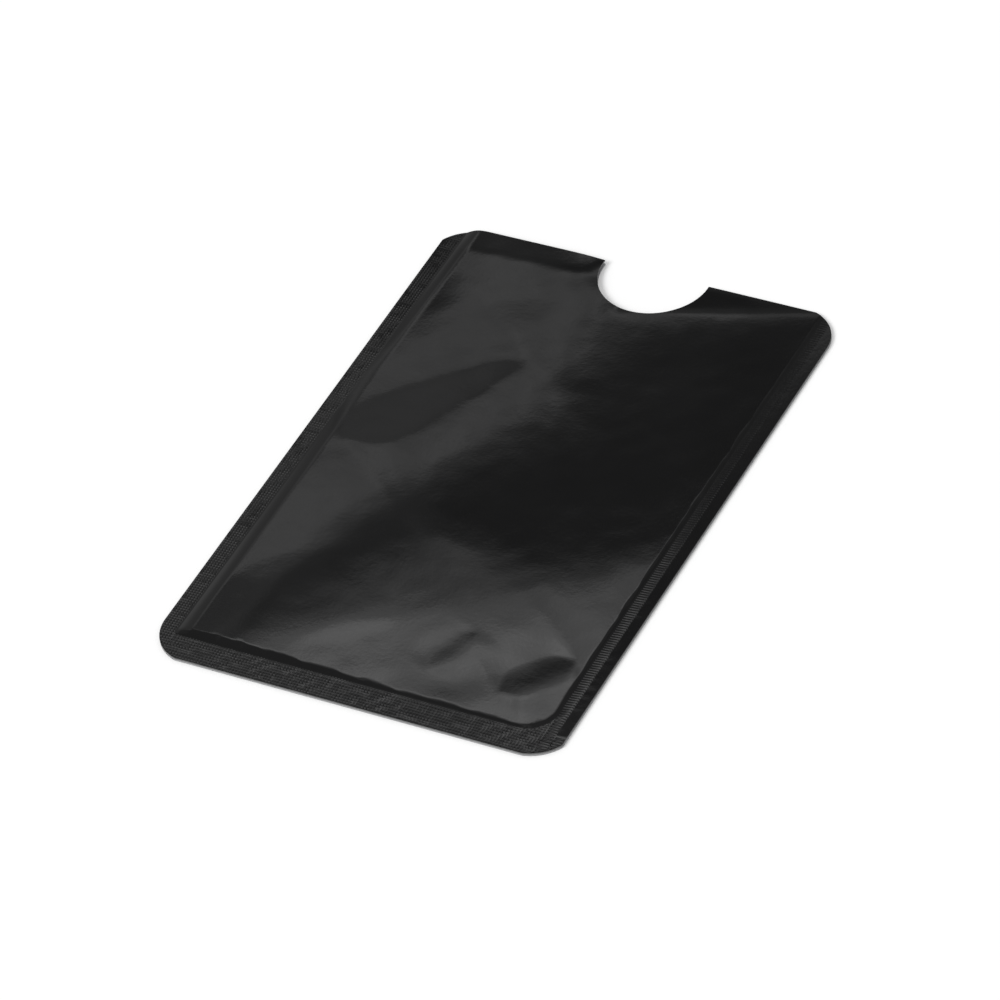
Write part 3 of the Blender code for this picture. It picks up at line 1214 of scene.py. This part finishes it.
def place_piece(piece: Object, node: str) -> None:
    """Fixes a finished piece to the sleeve in place of its solid.

    Args:
        piece: The finished piece.
        node: The solid that it stands for.
    """
    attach(piece, BODY)
    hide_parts(node)
    LOG.info("%s: %d faces", piece.name, len(piece.data.polygons))


def dress(solid: Object, material: Material) -> None:
    """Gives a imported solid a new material.

    Args:
        solid: The solid's object.
        material: Its new material.
    """
    solid.data.materials.clear()
    solid.data.materials.append(material)
    LOG.info("%s: dressed", solid.name)


# Studio


@dataclass(frozen=True)
class LightBand:
    """A level band of the room, given by the slopes of the web that mirror it to the camera.

    A slope is how steeply the web falls towards the camera; a level web has the slope 0.
    """

    low: Edge
    high: Edge
    strength: float


@dataclass
class Studio:
    """White table, soft daylight, and the backdrop, dark room and lamp that the gloss mirrors.

    What the gloss mirrors is placed by how the web has to slope to mirror it: towards the view from
    the photograph's side, and sideways to that.
    """

    view: Triple = (0.404, -0.623, 0.670)
    towards: Triple = (0.544, -0.839, 0.0)
    sideways: Triple = (0.839, 0.544, 0.0)
    reach: Edge = Edge(0.060, 0.050)
    mottle_scale: float = 90.0
    mottle_detail: float = 5.0
    mottle_depth: float = 2.0
    fill: float = 0.10
    fill_start: Edge = Edge(0.011, 0.020)
    corner: float = 0.13
    corner_side: Edge = Edge(0.033, 0.012)
    corner_start: Edge = Edge(-0.003, 0.006)
    wall: float = 0.21
    wall_start: Edge = Edge(0.052, 0.03)
    wall_end: Edge = Edge(0.55, 0.3)
    wall_side: Edge = Edge(0.20, 0.1)
    far: float = 0.09
    far_start: Edge = Edge(0.006, 0.008)
    far_side: Edge = Edge(0.02, 0.10)
    window: float = 0.05
    window_start: Edge = Edge(0.055, 0.03)
    window_end: Edge = Edge(0.60, 0.3)
    window_side: Edge = Edge(-0.004, 0.014)
    room: float = 0.04
    daylight: float = 0.62
    horizon: float = 0.14
    horizon_top: Edge = Edge(0.42, 0.20)
    sun_strength: float = 1.75
    sun_spread: float = 28.0
    sun_turn: Triple = (38.0, -32.0, 0.0)
    table_size: float = 6.0
    table_drop: float = 0.02 * MM
    bands: tuple[LightBand, ...] = (
        LightBand(Edge(-0.0215, 0.0012), Edge(-0.0065, 0.010), 0.35),
        LightBand(Edge(-0.0175, 0.009), Edge(-0.0080, 0.008), 0.17),
        LightBand(Edge(-0.0440, 0.016), Edge(-0.0215, 0.0012), 0.17),
        LightBand(Edge(-0.0215, 0.0012), Edge(0.0020, 0.010), 0.05),
        LightBand(Edge(0.0080, 0.0060), Edge(0.070, 0.05), 0.05),
        LightBand(Edge(0.0115, 0.0040), Edge(0.070, 0.05), 0.30),
        LightBand(Edge(0.0185, 0.0060), Edge(0.060, 0.04), 0.50),
        LightBand(Edge(0.0290, 0.012), Edge(0.045, 0.02), 0.60),
    )

    def build(self) -> None:
        """Builds the floor, the sun and the world."""
        self._floor()
        self._sun()
        self._world()

    def _floor(self) -> None:
        """Lays the table under the sleeve."""
        mesh = bpy.data.meshes.new("table_top")
        plan = bmesh.new()
        bmesh.ops.create_grid(plan, x_segments=1, y_segments=1, size=self.table_size)
        plan.to_mesh(mesh)
        plan.free()
        mesh.materials.append(FloorFinish().material())
        floor = bpy.data.objects.new("table_top", mesh)
        floor.location.z = -self.table_drop
        bpy.context.scene.collection.objects.link(floor)

    def _sun(self) -> None:
        """Hangs the soft key light, which the gloss doesn't mirror."""
        lamp = bpy.data.lights.new("key_light", "SUN")
        lamp.energy = self.sun_strength
        lamp.angle = math.radians(self.sun_spread)
        sun = bpy.data.objects.new("key_light", lamp)
        sun.rotation_euler = Euler([math.radians(angle) for angle in self.sun_turn])
        sun.visible_glossy = False
        bpy.context.scene.collection.objects.link(sun)

    def _world(self) -> None:
        """Makes the world: white for the camera, plain daylight, and the panels for the gloss."""
        world = bpy.data.worlds.new("studio")
        bpy.context.scene.world = world
        world.cycles.sampling_method = "NONE"
        graph = Graph(world)
        direction = graph.add("TexCoord", result="Generated")
        view = Vector(self.view).normalized()
        middle = graph.add("VectorMath", {"operation": "ADD"}, {0: direction, 1: view})
        level = graph.parts(middle)[2]
        slope = graph.dot(middle, self.towards) / level
        side = graph.dot(middle, self.sideways) / level
        height = graph.parts(direction)[2]
        mottle = {"Scale": self.mottle_scale, "Detail": self.mottle_detail}
        uneven = graph.add("TexNoise", values={"Vector": direction, **mottle}, result="Fac") - 0.5
        lit = 0.0
        for band in self.bands:
            lit = band.strength * slope.step(band.low) * (1 - slope.step(band.high)) + lit
        fill = self.fill * (-1.0 * side).step(self.fill_start)
        corner = (-1.0 * side).step(self.corner_side)
        corner = self.corner * corner * slope.step(self.corner_start)
        lit = (lit + fill + corner) * (1 - side.size().step(self.reach))
        lit = lit * (1 + self.mottle_depth * uneven)
        ring = self.horizon * (1 - height.step(self.horizon_top))
        mirrored = self.room + ring + lit + self._window(graph.parts(middle))
        camera = graph.add("LightPath", result="Is Camera Ray")
        through = graph.add("LightPath", result="Is Transmission Ray")
        glossy = graph.add("LightPath", result="Is Glossy Ray")
        seen = camera.larger(through)
        strength = seen + (1 - seen) * (glossy * mirrored + (1 - glossy) * self.daylight)
        sky = graph.add("Background", values={"Color": WHITE, "Strength": strength})
        graph.add("OutputWorld", values={"Surface": sky})

    def _window(self, middle: tuple[Socket, Socket, Socket]) -> Socket:
        """The light that only the steep sides of the pocket and of the net mirror.

        Args:
            middle: Parts of the direction half way between the eye and what the gloss mirrors.

        Returns:
            The light.
        """
        across, along, level = middle
        across = across / level
        along = along / level
        steep = across.size()
        inside = steep.step(self.window_start) * (1 - steep.step(self.window_end))
        window = self.window * inside * (-1.0 * along).step(self.window_side)
        spread = across * across + along * along
        fall = -1.0 * across
        wall = fall.step(self.wall_start) * (1 - fall.step(self.wall_end))
        window = window + self.wall * wall * (1 - along.size().step(self.wall_side))
        far = self.far * spread.step(self.far_start)
        return window + far * (across - along).step(self.far_side)


@dataclass
class PhotoCamera:
    """The photograph's long lens, from the foot of the sleeve and above it."""

    place: Triple = (0.3795, -0.5852, 0.6301)
    turn: Triple = (47.417, 6.732, 26.849)
    lens: float = 250.5
    sensor: float = 36.0
    clip: tuple[float, float] = (0.01, 20.0)

    def build(self) -> None:
        """Makes the camera and hands it to the scene."""
        data = bpy.data.cameras.new("photo_camera")
        data.lens = self.lens
        data.sensor_width = self.sensor
        data.clip_start, data.clip_end = self.clip
        camera = bpy.data.objects.new("photo_camera", data)
        camera.location = self.place
        camera.rotation_euler = Euler([math.radians(angle) for angle in self.turn])
        bpy.context.scene.collection.objects.link(camera)
        bpy.context.scene.camera = camera


def main() -> None:
    """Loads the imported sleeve, builds its looks and sets up the studio."""
    logging.basicConfig(level=logging.INFO)
    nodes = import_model()["nodes"]
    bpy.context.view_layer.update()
    low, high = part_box("front_outer_film")
    outline = Outline(high.x - low.x, high.y - low.y)
    pocket = Pocket(outline, SealBands(outline.width / 2))
    finishes = Finishes()
    BackWeb(pocket, finishes, nodes).build()
    Seals(finishes, nodes).build()
    FrontWeb(pocket, finishes).build()
    Studio().build()
    PhotoCamera().build()
    bpy.context.scene.view_settings.view_transform = "Standard"


if __name__ == "__main__":
    main()
